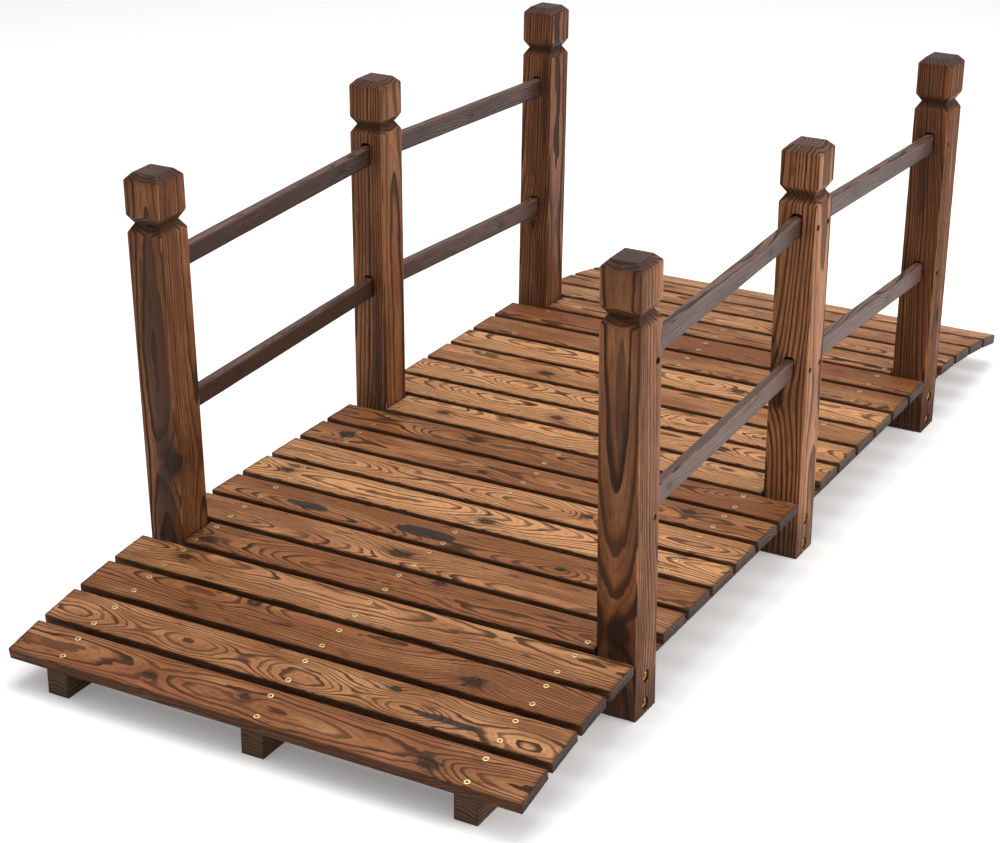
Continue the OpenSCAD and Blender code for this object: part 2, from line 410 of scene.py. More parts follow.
def facing(node, toward):
    """Mean normal of a CAD node's flat faces that look about one way."""
    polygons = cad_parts[node].data.polygons
    normals = np.array([polygon.normal for polygon in polygons])
    areas = np.array([polygon.area for polygon in polygons])
    near = normals @ toward > math.cos(math.radians(16))
    tilt = (normals[near] * areas[near, None] ** 2).sum(axis=0)
    return tilt / np.linalg.norm(tilt)


def points(body):
    return np.array([vertex.co for vertex in body.data.vertices])


class Seat:
    """Where a straight piece lies: its axes along the grain, across and through it,
    and its middle and size along them, from its CAD node."""

    def __init__(self, node, along, through):
        self.axes = np.array([along, np.cross(through, along), through])
        local = points(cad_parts[node]) @ self.axes.T
        self.low, self.high = local.min(axis=0), local.max(axis=0)
        self.middle = (self.low + self.high) / 2
        self.size = self.high - self.low
        self.centre = self.middle @ self.axes

    def world(self, places):
        return (places + self.middle) @ self.axes

    def places(self, world):
        return world @ self.axes.T - self.middle


def steps(start, end, step):
    return np.linspace(start, end, max(1, round(abs(end - start) / step)), endpoint=False)


def section(width, height, round_top, round_low, step_top=1.0, step_side=1.0, step_low=1.0):
    """Outline of a timber seen along its grain, as turns of points round its middle."""
    half, top, low = width / 2, height / 2, -height / 2
    corners = (  # centre of each rounding, its radius, its points and the step before it
        (half - round_low, low + round_low, round_low, 3, step_low),
        (half - round_top, top - round_top, round_top, 4, step_side),
        (round_top - half, top - round_top, round_top, 4, step_top),
        (round_low - half, low + round_low, round_low, 3, step_side),
    )
    outline = []
    last = np.array((round_low - half, low))
    for k, (x, z, radius, count, step) in enumerate(corners):
        turn = np.radians(np.linspace(90 * k - 90, 90 * k, count + 1))
        arc = np.array((x, z)) + radius * np.column_stack([np.cos(turn), np.sin(turn)])
        run = arc[0] - last
        outline.extend(last + run * t for t in steps(0, 1, step / np.linalg.norm(run)))
        outline.extend(arc[:-1])
        last = arc[-1]
    return np.array(outline)


def eased_stations(size, ease, step):
    """Places along a piece and how far its outline shrinks there to ease its ends."""
    turn = np.radians([0, 30, 60, 90])
    ends = size / 2 - ease * (1 - np.cos(turn))
    shrink = ease * (1 - np.sin(turn))
    inner = steps(-ends[-1], ends[-1], step)[1:]
    stations = np.concatenate([-ends, inner, ends[::-1]])
    return stations, np.concatenate([shrink, np.zeros(len(inner)), shrink[::-1]])


def shrunk(outline, by):
    half = np.abs(outline).max(axis=0)
    return outline * (1 - by / half)


def sweep(stations, outlines, cap_rings):
    """Closed skin through outlines at stations along the grain: places and faces."""
    rows = [np.column_stack([np.full(len(o), u), o]) for u, o in zip(stations, outlines)]
    count = len(outlines[0])
    faces = []

    def strip(a, b):
        following = np.roll(np.arange(count), -1)
        faces.extend(zip(a + np.arange(count), a + following, b + following, b + np.arange(count)))

    for i in range(len(rows) - 1):
        strip(i * count, (i + 1) * count)
    for last in (0, len(stations) - 1):
        edge = last * count
        middle = (rows[last].min(axis=0) + rows[last].max(axis=0)) / 2
        for ring in range(1, cap_rings):
            rows.append(middle + (rows[last] - middle) * (1 - ring / cap_rings))
            start = (len(rows) - 1) * count
            strip(start, edge) if last == 0 else strip(edge, start)
            edge = start
        ends = np.arange(edge, edge + count)
        faces.append(tuple(ends[::-1] if last == 0 else ends))
    return np.concatenate(rows), [tuple(int(i) for i in face) for face in faces]


def eased_sweep(size, outline, ease, step, cap_rings):
    """Skin of a straight timber with the same outline all along and eased ends."""
    stations, shrink = eased_stations(size, ease, step)
    return sweep(stations, [shrunk(outline, by) for by in shrink], cap_rings)


def turned(profile, count, recess=None):
    """Closed turned body about the third axis from (radius, height) steps, with an
    optional change of each point's radius and height for a recess."""
    verts, faces = [], []
    for k, (radius, height) in enumerate(profile):
        for j in range(count):
            angle = 2 * math.pi * j / count
            r, h = recess(k, angle, radius, height) if recess else (radius, height)
            verts.append((r * math.cos(angle), r * math.sin(angle), h))
    for k in range(len(profile) - 1):
        for j in range(count):
            a, b = k * count + j, k * count + (j + 1) % count
            faces.append((a, b, b + count, a + count))
    last = (len(profile) - 1) * count
    faces.append(tuple(range(last, last + count)))
    return np.array(verts), [tuple(range(count))[::-1]] + faces


def set_on(body, origin, up, spin=0.0):
    """Stands a turned body at a point with its axis along up."""
    verts, faces = body
    up = np.array(up, float) / np.linalg.norm(up)
    side = np.cross(Y if abs(up[1]) < 0.9 else Z, up)
    side /= np.linalg.norm(side)
    other = np.cross(up, side)
    a = math.cos(spin) * side + math.sin(spin) * other
    b = -math.sin(spin) * side + math.cos(spin) * other
    return verts @ np.array([a, b, up]) + np.array(origin), faces


def cylinder(start, end, radius, count):
    """Closed cylinder between two points, as points and faces."""
    run = np.array(end, float) - np.array(start, float)
    drum = turned([(radius, 0.0), (radius, np.linalg.norm(run))], count)
    verts, (bottom, *sides, top) = set_on(drum, start, run, math.pi)
    return verts, [*sides, bottom, top]


def prism(axes, origin, outline, start, end):
    """Closed prism of an outline across and through, run along from start to end."""
    places, faces = sweep((start, end), (outline, outline), 1)
    return places @ axes + origin, faces


def soften(mesh, sharp):
    """Smooth shading, except over edges that turn by more than sharp degrees."""
    mesh.polygons.foreach_set("use_smooth", np.ones(len(mesh.polygons), bool))
    mesh.set_sharp_from_angle(angle=math.radians(sharp))


def make_piece(name, verts, faces, material, sharp=50):
    mesh = bpy.data.meshes.new(name)
    mesh.from_pydata(np.asarray(verts).tolist(), [], faces)
    mesh.validate()
    soften(mesh, sharp)
    mesh.materials.append(material)
    piece = bpy.data.objects.new(name, mesh)
    bpy.context.scene.collection.objects.link(piece)
    return piece


def mend(mesh, whole=False):
    """Splits a whole piece's faces into triangles before its first cut, or closes what
    a cut leaves: points that nearly touch, small holes and faces without area."""
    shape = bmesh.new()
    shape.from_mesh(mesh)
    if whole:
        bmesh.ops.triangulate(shape, faces=shape.faces)
    else:
        bmesh.ops.remove_doubles(shape, verts=shape.verts, dist=0.02 * MM)
        bmesh.ops.holes_fill(shape, edges=[e for e in shape.edges if e.is_boundary], sides=8)
        bmesh.ops.dissolve_degenerate(shape, edges=shape.edges, dist=0.01 * MM)
    shape.to_mesh(mesh)
    shape.free()


def cut(piece, cutters):
    """Cuts closed shapes out of a piece, one after another, with the Boolean modifier."""
    mend(piece.data, whole=True)
    for verts, faces in cutters:
        tool = make_piece("cutter", verts, faces, piece.data.materials[0])
        modifier = piece.modifiers.new("cut", "BOOLEAN")
        modifier.operation = "DIFFERENCE"
        modifier.solver = "EXACT"
        modifier.object = tool
        graph = bpy.context.evaluated_depsgraph_get()
        mesh = bpy.data.meshes.new_from_object(piece.evaluated_get(graph))
        piece.modifiers.clear()
        old, piece.data = piece.data, mesh
        bpy.data.meshes.remove(old)
        bpy.data.meshes.remove(tool.data)
        mend(piece.data)
    soften(piece.data, 34)


def write_wood(piece, timber, places, shade_and_stain, end_grain, highlight_and_wear=0.0):
    """Writes on each point of a mesh what the wood's material reads."""
    mesh = piece.data
    count = len(mesh.vertices)
    numbers = {
        "rings": timber.rings(places),
        "knot": timber.knot_distance(places),
        "char": timber.burnt(places),
        "shade_and_stain": shade_and_stain,
        "end_grain": end_grain,
        # the tone also takes a painted highlight, with some wear, where one is given
        "tone": np.full(count, timber.tone) + highlight_and_wear,
    }
    for name, values in numbers.items():
        layer = mesh.attributes.new(name, "FLOAT", "POINT")
        layer.data.foreach_set("value", np.asarray(values, np.float32))
    layer = mesh.attributes.new("place", "FLOAT_VECTOR", "POINT")
    layer.data.foreach_set("vector", (places + timber.offset).astype(np.float32).ravel())


def margins(places, size):
    """Distances from a piece's end, side and broad faces, measured inward."""
    return size / 2 - np.abs(places)


def hand_in(piece, slot, *nodes):
    """Tells the frame a piece's body and the CAD nodes it takes the place of; slot is not used."""
    if nodes:
        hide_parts(*nodes)
    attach(piece, BODY)


def joined(name, parts, material, shaded_faces):
    """One piece from many alike loose bodies given as points and faces. The last faces of
    each body, as many as given, are the floor of its recess, coloured dark as painted shade."""
    verts, faces, in_shade = [], [], []
    for part_verts, part_faces in parts:
        start = len(verts)
        verts.extend(part_verts)
        in_shade.extend(k >= len(part_faces) - shaded_faces for k in range(len(part_faces)))
        faces.extend(tuple(i + start for i in face) for face in part_faces)
    piece = make_piece(name, verts, faces, material, sharp=35)
    # the floors of the recesses get a dark second material as painted shade
    piece.data.materials.append(recess_shade_finish())
    piece.data.polygons.foreach_set("material_index", np.array(in_shade, np.int32))
    return piece


# ---- where parts meet


def post_seat(name):
    outward = facing(name, X)
    return Seat(name, np.cross(outward, Y), outward)


def rail_seat(name):
    up = facing(name, Z)
    return Seat(name, np.cross(Y, up), up)


def rail_screw_spots(s):
    """For each rail screw: its post, its place on the post's outer face and the way out."""
    spots = []
    for name in nodes_with("_rail_"):
        side, _, _, bay = name.split("_")
        rail = rail_seat(name)
        centre = rail.centre
        for station in ((1, 2) if bay == "1" else (2, 3)):
            post = post_seat(f"{side}_post_{station}")
            axis = post_axis(post, centre[2])
            x = axis[0] + math.copysign(s.rail_screw_set, centre[0] - axis[0])
            level = centre[2] + (x - centre[0]) * rail.axes[0][2] / rail.axes[0][0]
            outward = math.copysign(1, centre[1])
            face = axis[1] + outward * post.size[1] / 2
            spots.append((f"{side}_post_{station}", np.array((x, face, level)), outward * Y))
    return spots


def post_axis(seat, level):
    """The point of a post's axis at a height above the ground."""
    return seat.centre + seat.axes[0] * (level - seat.centre[2]) / seat.axes[0][2]


def bolt_places(beam, s):
    """Where bolts enter a beam: X and Z of each."""
    side = beam.split("_")[0]
    if side == "middle":
        return []
    seats = [post_seat(f"{side}_post_{k}") for k in (1, 2, 3)]
    return [(post_axis(seat, level)[0], level)
            for seat in seats for level in (s.low_bolt_level, s.high_bolt_level)]


# ---- deck


KNOTS = {  # plank: (along, across, radius, rings of swirl), all lengths in millimetres
    1: [(-215, 12, 11, 4.5), (28, -4, 6, 2.0), (150, 6, 7, 2.5)],
    2: [(-120, -14, 5, 3.0)],
    3: [(-192, 8, 11, 7.0), (120, -24, 7, 4.0)],
    4: [(255, -8, 7, 4.0)],
    5: [(255, 12, 9.5, 4.0), (-52, -22, 7, 2.0)],
    6: [(28, 2, 11, 6.0)],
    7: [(-160, 10, 6, -4.0)],
    8: [(-18, 6, 9.5, 3.5), (285, -2, 8.5, 3.0)],
    9: [(-120, 0, 7, 5.0)],
    10: [(-225, -8, 8.5, 4.0), (60, 14, 6, 3.0)],
    11: [(120, -6, 9.5, 4.5)],
    12: [(-60, 4, 9.5, 5.0), (205, 2, 7, 3.0)],
    13: [(60, 8, 7, 4.0), (-180, -6, 8.5, 4.0)],
    14: [(-30, -10, 7, 3.0)],
    15: [(150, 6, 9.5, 5.0), (-250, 2, 7, 3.0)],
    16: [(-120, 0, 8.5, 5.0)],
    18: [(90, -6, 9.5, 4.0)],
    20: [(-70, 4, 8.5, 4.0)],
    22: [(180, 0, 7, 4.0)],
}
PATCHES = {  # plank: (along, across, half length, half width) of charred spots
    7: [(196, 8, 34, 11), (32, 4, 42, 13)],
    10: [(280, 0, 16, 12)],
    2: [(-205, 12, 40, 5)],
}


def number(name):
    return int(name.rsplit("_", 1)[1])


def plank_timber(i, seed, ring, size):
    rng = np.random.default_rng(1000 * seed + i)
    slope = rng.uniform(0.005, 0.03)
    depth = rng.uniform(11, 24) * MM
    timber = Timber(
        seed=[seed, i],
        ring=ring * rng.uniform(0.75, 1.15),
        pith=(rng.uniform(-0.42, 0.42) * size[1], -depth),
        taper=(rng.uniform(-0.02, 0.02), slope * rng.choice((-1, 1))),
        wander=rng.uniform(4, 7.5),
    )
    for along, across, radius, swirl in KNOTS.get(i, ()):
        timber.knot(along * MM, across * MM, radius * MM, swirl)
    for spot in PATCHES.get(i, ()):
        timber.patch(*(v * MM for v in spot))
    return timber


class FOOTBRIDGE_OT_planks(bpy.types.Operator):
    """Build the planks of the deck"""

    bl_idname = "footbridge.planks"
    bl_label = "Planks"

    def execute(self, context):
        s = sizes()
        material = wood_finish("deck", relief=0.6 * MM)
        for name in nodes_with("plank_"):
            self.plank(name, s, material)
        return {"FINISHED"}

    def plank(self, name, s, material):
        seat = Seat(name, Y, -facing(name, -Z))
        timber = plank_timber(number(name), s.seed, s.deck_ring, seat.size)
        outline = section(seat.size[1], seat.size[2], s.plank_round, 0.5 * MM,
                          2.0 * MM, 4.0 * MM, 7.0 * MM)
        places, faces = eased_sweep(seat.size[0], outline, s.plank_ease, PLANK_STEP, 8)
        ends, sides, broad = margins(places, seat.size).T

        drawn = places.copy()
        upper = smooth(places[:, 2], -0.3 * seat.size[2], 0.4 * seat.size[2])
        pull = s.plank_uneven * Ripple(timber.rng, (60, 400, 400)).share(places, 1.5) * upper
        drawn[:, 1] -= np.sign(places[:, 1]) * pull * (1 - smooth(sides, 0, 6 * MM))
        sag = Ripple(timber.rng, (150, 30, 30))(places) * 0.25 + 0.35
        drawn[:, 2] -= 0.4 * MM * np.clip(sag, 0, 1) * upper
        splinter = 0.5 * MM * (1 - smooth(ends, 0, 3 * MM))
        drawn[:, 0] -= (np.sign(places[:, 0]) * splinter
                        * Ripple(timber.rng, (400, 9, 9)).share(places))

        piece = make_piece(name + "_board", seat.world(drawn), faces, material)
        # Painted shade: the underside and the long sides are darkened as shade under and between
        # the planks, and the edges a little as well.
        below = 1 - smooth(places[:, 2], -0.1 * seat.size[2], 0.44 * seat.size[2])
        beside = 1 - smooth(sides, 0.1 * MM, 1.6 * MM)
        arris = np.sort(np.column_stack([ends, sides, broad]), axis=1)[:, 1]
        shade_and_stain = np.max([below * 0.95, beside * 0.95,
                        0.40 * (1 - smooth(arris, 0.6 * MM, 3.4 * MM))], axis=0)
        end_grain = 1 - smooth(ends, 0.4 * MM, 1.6 * MM)
        write_wood(piece, timber, places, shade_and_stain, end_grain)
        hand_in(piece, "deck_wood", name)


# ---- beams


class FOOTBRIDGE_OT_beams(bpy.types.Operator):
    """Build the three beams under the deck"""

    bl_idname = "footbridge.beams"
    bl_label = "Beams"

    def execute(self, context):
        s = sizes()
        material = wood_finish("beam", relief=0.4 * MM)
        for i, name in enumerate(nodes_with("_beam")):
            self.beam(name, i, s, material)
        return {"FINISHED"}

    def beam(self, name, i, s, material):
        seat = Seat(name, X, Z)
        cad = points(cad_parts[name])
        inner = cad[:, 1].min() if name.startswith("left") else cad[:, 1].max()
        face = cad[np.abs(cad[:, 1] - inner) < 1e-5]
        stops = np.unique(np.round(face[:, 0], 6))
        tops = np.array([face[np.abs(face[:, 0] - x) < 2e-6][:, 2].max() for x in stops])
        timber = Timber([s.seed, 300 + i], 4.5 * MM, (6 * MM, -60 * MM), (0.0, 0.02), 4.0)
        outline = section(seat.size[1], seat.size[2], 0.8 * MM, 0.8 * MM,
                          5 * MM, 5 * MM, 7 * MM)
        stations, ease = eased_stations(seat.size[0], 0.8 * MM, BEAM_STEP)
        outlines = []
        for u, e in zip(stations, ease):
            high = np.interp(u + seat.middle[0], stops, tops)
            part = shrunk(outline, e)
            low = part[:, 1] + seat.size[2] / 2
            part[:, 1] = low * high / seat.size[2] - seat.size[2] / 2
            outlines.append(part)
        places, faces = sweep(stations, outlines, 5)
        piece = make_piece(name + "_timber", seat.world(places), faces, material)
        drill(piece, seat, bolt_places(name, s), s.bolt_size / 2 + BOLT_GRIP)
        places = seat.places(points(piece))
        ends, sides, _ = margins(places, seat.size).T
        arris = np.sort(np.column_stack([ends, sides]), axis=1)[:, 1]
        write_wood(piece, timber, places, 0.35 * (1 - smooth(arris, 0, 4 * MM)),
                   0.2 * (1 - smooth(ends, 0.1 * MM, 1.0 * MM)))
        hand_in(piece, "beam_wood", name)


def drill(piece, seat, holes, radius):
    """Drills across a beam from its outer face, as deep as the bolts need."""
    y = seat.centre[1]
    outward = math.copysign(1, y)
    deep = y - outward * (seat.size[1] / 2 - HOLE_STOP)
    cut(piece, [cylinder((x, deep, z), (x, y + outward * seat.size[1], z), radius, 24)
                for x, z in holes])


# ---- posts


POST_ROUND = 2.2 * MM
TOP_GAP = 0.05 * MM  # keeps the top inside the CAD's own
MORTISE_ROUND = 4 * MM
MORTISE_REACH = 40 * MM  # how far the cut for a mortise runs back along its rail
PAST_FACE = 5 * MM  # how far a cutter stands out of the face it cuts into

# For each post, in millimetres: the tree's heart across (to -Y) and through (to +X), how
# wide its rings are beside the usual ones, how bright the wood is from 0 to 1, its knots
# (along, across, radius, rings of swirl, way it faces in degrees from across to through)
# and its scorched streaks on the -X face (along, across, half length, half width).
POST_WOOD = {
    "left_post_1": ((4, 20), 0.85, 0.35, [(-88, 9, 13, 3.0, -75)],
                    [(40, 1, 165, 18), (-150, 2, 75, 15)]),
    "left_post_2": ((-32, 5), 0.85, 0.55, [(-215, 4, 7, 2.0, -90)], [(-120, 12, 120, 7)]),
    "left_post_3": ((-30, -4), 0.8, 0.3, [(-60, 4, 6, 2.0, 80)], [(150, 14, 90, 7)]),
    "right_post_1": ((-2, 26), 1.0, 0.36, [(-165, 2, 15, 3.0, -90)],
                     [(110, 2, 80, 7), (-168, 1, 36, 15)]),
    "right_post_2": ((-34, 6), 1.0, 0.8, [(-55, -14, 12, 4.0, -90)], [(-10, -22, 40, 8)]),
    "right_post_3": ((30, 8), 0.7, 0.2, [(-100, 0, 7, 2.0, 180)], [(110, -4, 70, 7)]),
}


def post_profile(s, height, step):
    """Places up a post from its foot, with how far its outline steps in there."""
    shoulder = height - s.top_chamfer
    knob = shoulder - s.knob_height
    groove = knob - s.groove_height
    deepest = groove + s.groove_height / 2
    levels = (0, groove, deepest, knob, shoulder, height)
    insets = (0, 0, s.groove_depth, 0, 0, s.top_chamfer)
    shifts = (-0.9 * MM, 0, 0.9 * MM)  # these ease the corners
    marks = {level + shift for level in levels[1:-1] for shift in shifts} | {height}
    for start, end, gap in ((0, groove - 3 * MM, step),
                            (groove + 3 * MM, deepest - 2 * MM, 2.5 * MM),
                            (deepest + 3 * MM, knob - 2 * MM, 2.5 * MM),
                            (knob + 4 * MM, shoulder - 2 * MM, step),
                            (shoulder + 2 * MM, height, 2 * MM)):
        marks.update(steps(start, end, gap))
    marks = np.array(sorted(marks))
    soft = sum(np.interp(marks + shift, levels, insets) for shift in shifts) / len(shifts)
    soft[-1] = s.top_chamfer
    return marks, np.maximum(soft, np.interp(marks, levels, insets))


class FOOTBRIDGE_OT_posts(bpy.types.Operator):
    """Build the six posts with their knobs, mortises and counterbores"""

    bl_idname = "footbridge.posts"
    bl_label = "Posts"

    def execute(self, context):
        s = sizes()
        material = wood_finish("post", relief=0.4 * MM, scorch=paint(50, 34, 25), band=POST_BAND,
                               ring_jitter=0.05, burn=0.62, streaks=0.62, smears=0.5,
                               sheen=0.15, gloss=0.42)
        for i, name in enumerate(nodes_with("_post_")):
            self.post(name, i, s, material)
        return {"FINISHED"}

    def post(self, name, i, s, material):
        seat = post_seat(name)
        timber = self.timber(name, i, s, seat)
        ground = post_axis(seat, 0) @ seat.axes[0] - seat.low[0]
        foot = ground - seat.size[0] / 2
        height = seat.size[0] - ground - TOP_GAP
        levels, insets = post_profile(s, height, POST_STEP)
        outline = section(seat.size[1], seat.size[2], POST_ROUND, POST_ROUND, MM, MM, MM)
        half = seat.size[1:] / 2
        places, faces = sweep(levels + foot, [outline * (1 - inset / half) for inset in insets], 9)

        def lie(places):
            """How far up places are, the inset there and their distances to the faces."""
            up = places[:, 0] - foot
            inset = np.interp(up, levels, insets)
            return up, inset, half - inset[:, None] - np.abs(places[:, 1:])

        up, inset, gap = lie(places)
        skin = np.arange(len(places)) < len(outline) * len(levels)
        hard = late_wood(timber.rings(places), POST_BAND)
        depth = s.post_relief * timber.rng.uniform(0.5, 1.0) * hard
        depth = depth * smooth(np.max(gap, axis=1), 0.5 * MM, 3.5 * MM)
        depth = depth * np.where(inset > 0.3 * MM, 0.25, 1.0) * skin
        across_face = gap[:, 0] < gap[:, 1]
        drawn = places.copy()
        drawn[:, 1] -= np.sign(places[:, 1]) * depth * across_face
        drawn[:, 2] -= np.sign(places[:, 2]) * depth * ~across_face
        world = seat.world(drawn)
        bottom = np.abs(up) < 1e-9
        world[bottom] -= np.outer(world[bottom, 2] / seat.axes[0][2], seat.axes[0])

        piece = make_piece(name + "_timber", world, faces, material)
        cut(piece, self.mortises(name, seat, s) + self.bolt_holes(seat, s)
            + self.screw_holes(name, s))
        places = seat.places(points(piece))
        up, inset, gap = lie(places)
        shoulder = height - s.top_chamfer
        # Painted shade: points inside the mortises and holes are darkened as shade in those
        # recesses; the V-groove is darkened as shade in its crease and for its burnt end grain.
        inside = np.where(up > height - 0.6 * MM, 0,
                          smooth(gap.min(axis=1), 1.2 * MM, 3.0 * MM))
        groove = smooth(inset, 0.2 * MM, 4 * MM) * (up < shoulder - 2 * MM)
        arris = np.clip(np.max(gap, axis=1), 0, None)
        shade_and_stain = np.max([
            inside,
            0.9 * groove,
            0.3 * (1 - smooth(np.abs(up - shoulder), 0, 3 * MM)),
            0.75 * (1 - smooth(up, 20 * MM, 75 * MM)),  # painted shadow under the deck, and dirt, at the foot
        ], axis=0)
        ends = np.maximum(smooth(up, shoulder, shoulder + 2 * MM), up < 0.5 * MM)
        # Painted highlight, with some wear: the arrises are made lighter, as a highlight runs along
        # them.
        highlight_and_wear = 0.7 * (1 - smooth(arris, 0.3 * MM, 2.2 * MM)) * (inset < 0.3 * MM)
        write_wood(piece, timber, places, shade_and_stain, 0.8 * ends, highlight_and_wear)
        hand_in(piece, "post_wood", name)

    def timber(self, name, i, s, seat):
        rng = np.random.default_rng([s.seed, 50 + i])
        heart, ring, tone, knots, streaks = POST_WOOD[name]
        timber = Timber([s.seed, 100 + i], s.post_ring * ring * rng.uniform(0.9, 1.1),
                        (heart[0] * MM, heart[1] * MM),
                        (rng.uniform(-0.01, 0.01), rng.choice((-1, 1)) * rng.uniform(0.015, 0.035)),
                        rng.uniform(1, 2), tone, waviness=0.45)
        for along, across, radius, swirl, turn in knots:
            way = math.radians(turn)
            timber.knot(along * MM, across * MM, radius * MM, swirl, (math.cos(way), math.sin(way)))
        for along, across, long, wide in streaks:
            timber.patch(along * MM, across * MM, long * MM, wide * MM, -seat.size[2] / 2, 22 * MM)
        timber.rng = rng  # the rest of the post draws from the same numbers
        return timber

    def mortises(self, name, seat, s):
        side, _, station = name.split("_")
        cutters = []
        for level in ("top", "low"):
            rail = rail_seat(f"{side}_{level}_rail_{2 if station == '3' else 1}")
            wide = rail.size[1] + 2 * s.mortise_side
            tall = rail.size[2] + s.mortise_seat + s.mortise_headroom
            lift = (s.mortise_headroom - s.mortise_seat) / 2
            if station == "2":  # level and right through the post, for the rails of both bays
                drop = abs(rail.axes[0][2] / rail.axes[0][0]) * seat.size[2] / 2
                middle = rail.centre - rail.axes[0] * rail.centre[0] / rail.axes[0][0]
                middle[2] += lift - drop / 2
                outline = section(wide, tall + drop, MORTISE_ROUND, MORTISE_ROUND)
                cutters.append(prism(np.eye(3), middle, outline, -seat.size[2], seat.size[2]))
            else:
                out = -1 if station == "1" else 1
                far = rail.size[0] / 2 + MM
                ends = sorted((out * far, out * (far - MORTISE_REACH)))
                outline = section(wide, tall, MORTISE_ROUND, MORTISE_ROUND) + (0, lift)
                cutters.append(prism(rail.axes, rail.centre, outline, *ends))
        return cutters

    def screw_holes(self, name, s):
        return [cylinder(spot - out * s.rail_screw_depth, spot + out * PAST_FACE,
                         s.rail_screw_hole / 2, 20)
                for post, spot, out in rail_screw_spots(s) if post == name]

    def bolt_holes(self, seat, s):
        cutters = []
        for level in (s.low_bolt_level, s.high_bolt_level):
            x, y, z = post_axis(seat, level)
            outward = math.copysign(1, y)
            inner = y - outward * seat.size[1]
            face = y + outward * seat.size[1] / 2
            floor = face - outward * s.counterbore_depth
            outside = face + outward * PAST_FACE
            cutters += [
                cylinder((x, inner, z), (x, face, z), s.bolt_size / 2 + BOLT_CLEARANCE, 24),
                cylinder((x, floor, z), (x, outside, z), s.counterbore / 2, 40)]
        return cutters


# ---- rails


RAIL_TONE = {  # how bright each rail's wood is, 0 to 1
    "left_top_rail_1": 0.15, "left_low_rail_1": 0.0, "left_top_rail_2": 0.25,
    "left_low_rail_2": 0.6, "right_top_rail_1": 0.42, "right_low_rail_1": 0.9,
    "right_top_rail_2": 0.42, "right_low_rail_2": 0.75,
}


class FOOTBRIDGE_OT_rails(bpy.types.Operator):
    """Build the eight rails"""

    bl_idname = "footbridge.rails"
    bl_label = "Rails"

    def execute(self, context):
        s = sizes()
        material = wood_finish("rail", relief=0.3 * MM, streaks=0.5, sheen=0.28, gloss=0.38)
        for i, name in enumerate(nodes_with("_rail_")):
            self.rail(name, i, s, material)
        return {"FINISHED"}

    def rail(self, name, i, s, material):
        seat = rail_seat(name)
        rng = np.random.default_rng([s.seed, 70 + i])
        timber = Timber([s.seed, 200 + i], 2.1 * MM * rng.uniform(0.9, 1.5),
                        (-rng.uniform(8, 30) * MM, rng.choice((-1, 1)) * rng.uniform(18, 36) * MM),
                        (rng.uniform(-0.01, 0.01), rng.uniform(-0.02, 0.02)), 2.0,
                        RAIL_TONE[name])
        timber.knot(rng.uniform(-150, 150) * MM, 0, 5 * MM, rng.uniform(1, 3), (1.0, 0.0))
        outline = section(seat.size[1], seat.size[2], s.rail_round, s.rail_round,
                          1.5 * MM, 1.5 * MM, 1.5 * MM)
        places, faces = eased_sweep(seat.size[0], outline, 0.6 * MM, RAIL_STEP, 4)
        uneven = Ripple(timber.rng, (90, 12, 12)).share(places)
        drawn = places * np.column_stack([np.ones(len(places)), 1 - 0.025 * uneven,
                                          1 - 0.012 * uneven])
        piece = make_piece(name + "_bar", seat.world(drawn), faces, material)
        ends, _, _ = margins(places, seat.size).T
        # Painted shade: the lower part of a rail is darker. Painted light, with some wear: its top
        # is lighter.
        level = places[:, 2] / seat.size[2]
        write_wood(piece, timber, places, 0.5 * smooth(-level, 0.3, 0.5),
                   1 - smooth(ends, 0.1 * MM, MM), 0.6 * smooth(level, 0.3, 0.45))
        hand_in(piece, "rail_wood", name)


# ---- metal fittings


BOLT_SIDES, SCREW_SIDES = 36, 24


def metal_finish(name, base, dull):
    """Plated steel, worn and soiled; the floors of its recesses get a second, dark material as
    painted shade.
    """
    finish = Finish(name)
    place = finish.node("ShaderNodeTexCoord", output="Object")
    mottle = finish.noise(place, 420, detail=3, roughness=0.6)
    smear = finish.noise(place, 90)
    shade = finish.mix(mottle.rise(0.45, 0.72) * 0.6, base, dull)
    shade = finish.mix(smear.rise(0.4, 0.7) * 0.25, shade, (0.55, 0.30, 0.22))
    finish.wear(Base_Color=shade, Metallic=0.85, Roughness=mottle.rise(0.2, 0.8, 0.28, 0.5),
                Normal=finish.bump(mottle, 0.05 * MM))
    return finish.material


def recess_shade_finish():
    """Painted shade: a dark colour for the floor of a screw's or bolt's recess."""
    known = bpy.data.materials.get("recess_shade")
    if known:
        return known
    finish = Finish("recess_shade")
    place = finish.node("ShaderNodeTexCoord", output="Object")
    mottle = finish.noise(place, 700)
    shade = finish.mix(mottle, (0.010, 0.007, 0.005), (0.05, 0.032, 0.018))
    finish.wear(Base_Color=shade, Roughness=0.75)
    return finish.material


